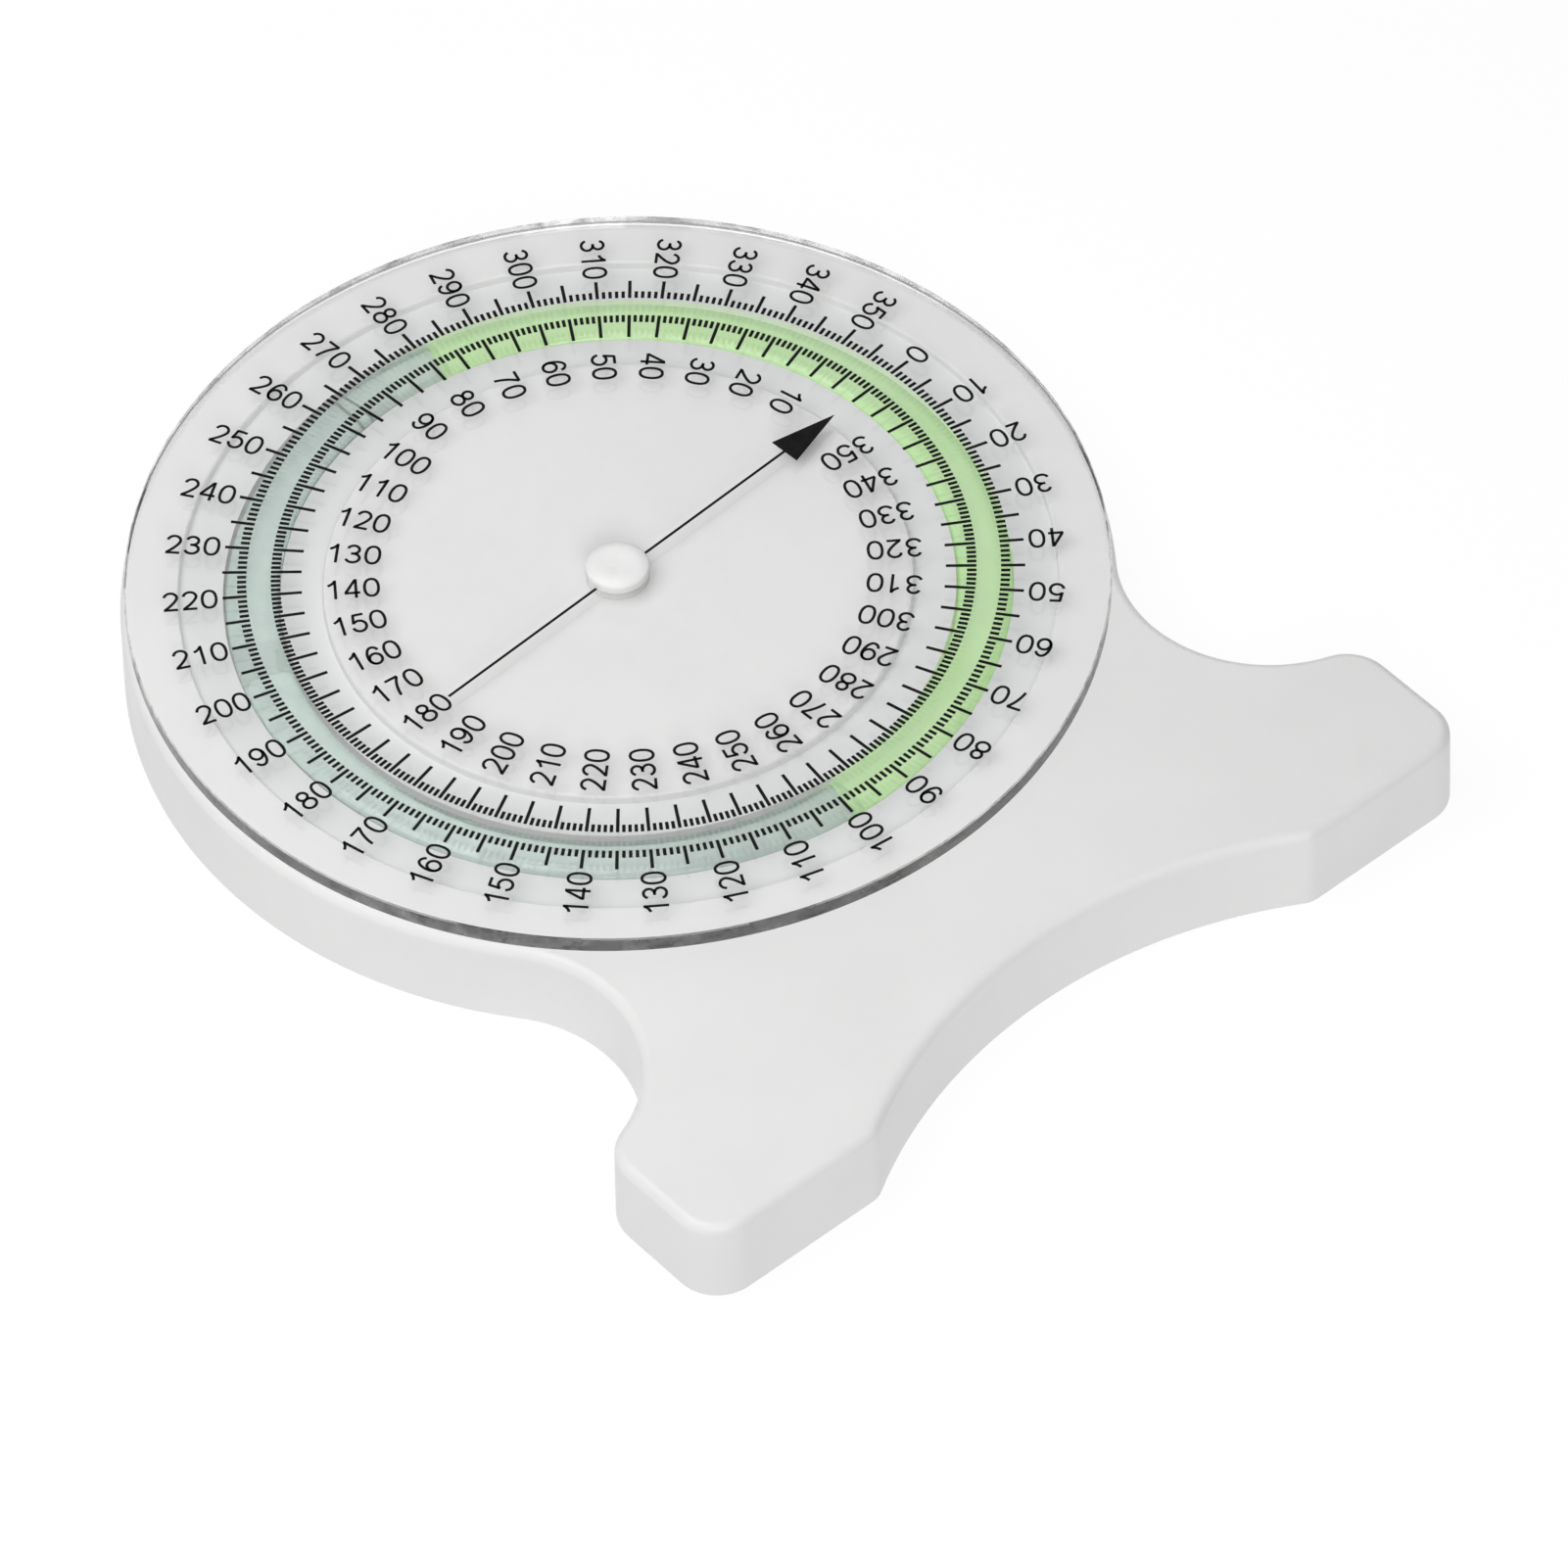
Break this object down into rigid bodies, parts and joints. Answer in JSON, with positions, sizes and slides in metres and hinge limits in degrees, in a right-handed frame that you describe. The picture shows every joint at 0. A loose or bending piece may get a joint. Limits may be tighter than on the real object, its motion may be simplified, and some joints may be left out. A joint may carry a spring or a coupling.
{
  "type": "bubble inclinometer",
  "caption": "Bubble inclinometer: white body on arched feet, a clear degree dial that turns by hand, and a ring-shaped vial half full of green liquid.",
  "frame": {"origin": "middle of the underside, so the flat back lies on Z 0", "axes": "+Z out of the dial, +Y from the feet towards the round head, +X to the right when the dial is read with the feet down"},
  "size_m": [0.1094, 0.1326, 0.0144],
  "materials": {
    "white_abs": "satin",
    "cover_abs": "satin",
    "cap_white": "satin",
    "clear_acrylic": "polished",
    "clear_tube": "polished",
    "clear_cement": "gloss",
    "green_liquid": "polished",
    "white_foam": "matte",
    "brass": "satin",
    "nylon": "satin",
    "zinc_steel": "satin",
    "spring_steel": "satin"
  },
  "bodies": {
    "body": {"base_housing": "white_abs", "back_cover": "cover_abs", "cover_screw_1": "zinc_steel", "cover_screw_2": "zinc_steel", "cover_screw_3": "zinc_steel", "cover_screw_4": "zinc_steel", "cover_screw_5": "zinc_steel", "cover_screw_6": "zinc_steel", "vial_tube": "clear_tube", "vial_joint_seal": "clear_cement", "vial_pad_1": "white_foam", "vial_pad_2": "white_foam", "vial_pad_3": "white_foam", "vial_pad_4": "white_foam", "vial_pad_5": "white_foam", "vial_pad_6": "white_foam", "pivot_bush": "brass", "friction_washer": "nylon", "wave_washer": "spring_steel"},
    "dial": {"dial_disc": "clear_acrylic", "hub_cap": "cap_white", "pivot_screw": "zinc_steel", "flat_washer": "zinc_steel"},
    "liquid": {"vial_liquid": "green_liquid"}
  },
  "joints": [
    {"name": "dial_spin", "type": "hinge", "parent": "body", "child": "dial", "pos_m": [0, 0.01165, 0.012], "axis": [0, 0, 1], "continuous": true},
    {"name": "liquid_flow", "type": "hinge", "parent": "body", "child": "liquid", "pos_m": [0, 0.01165, 0.00805], "axis": [0, 0, 1], "continuous": true}
  ]
}
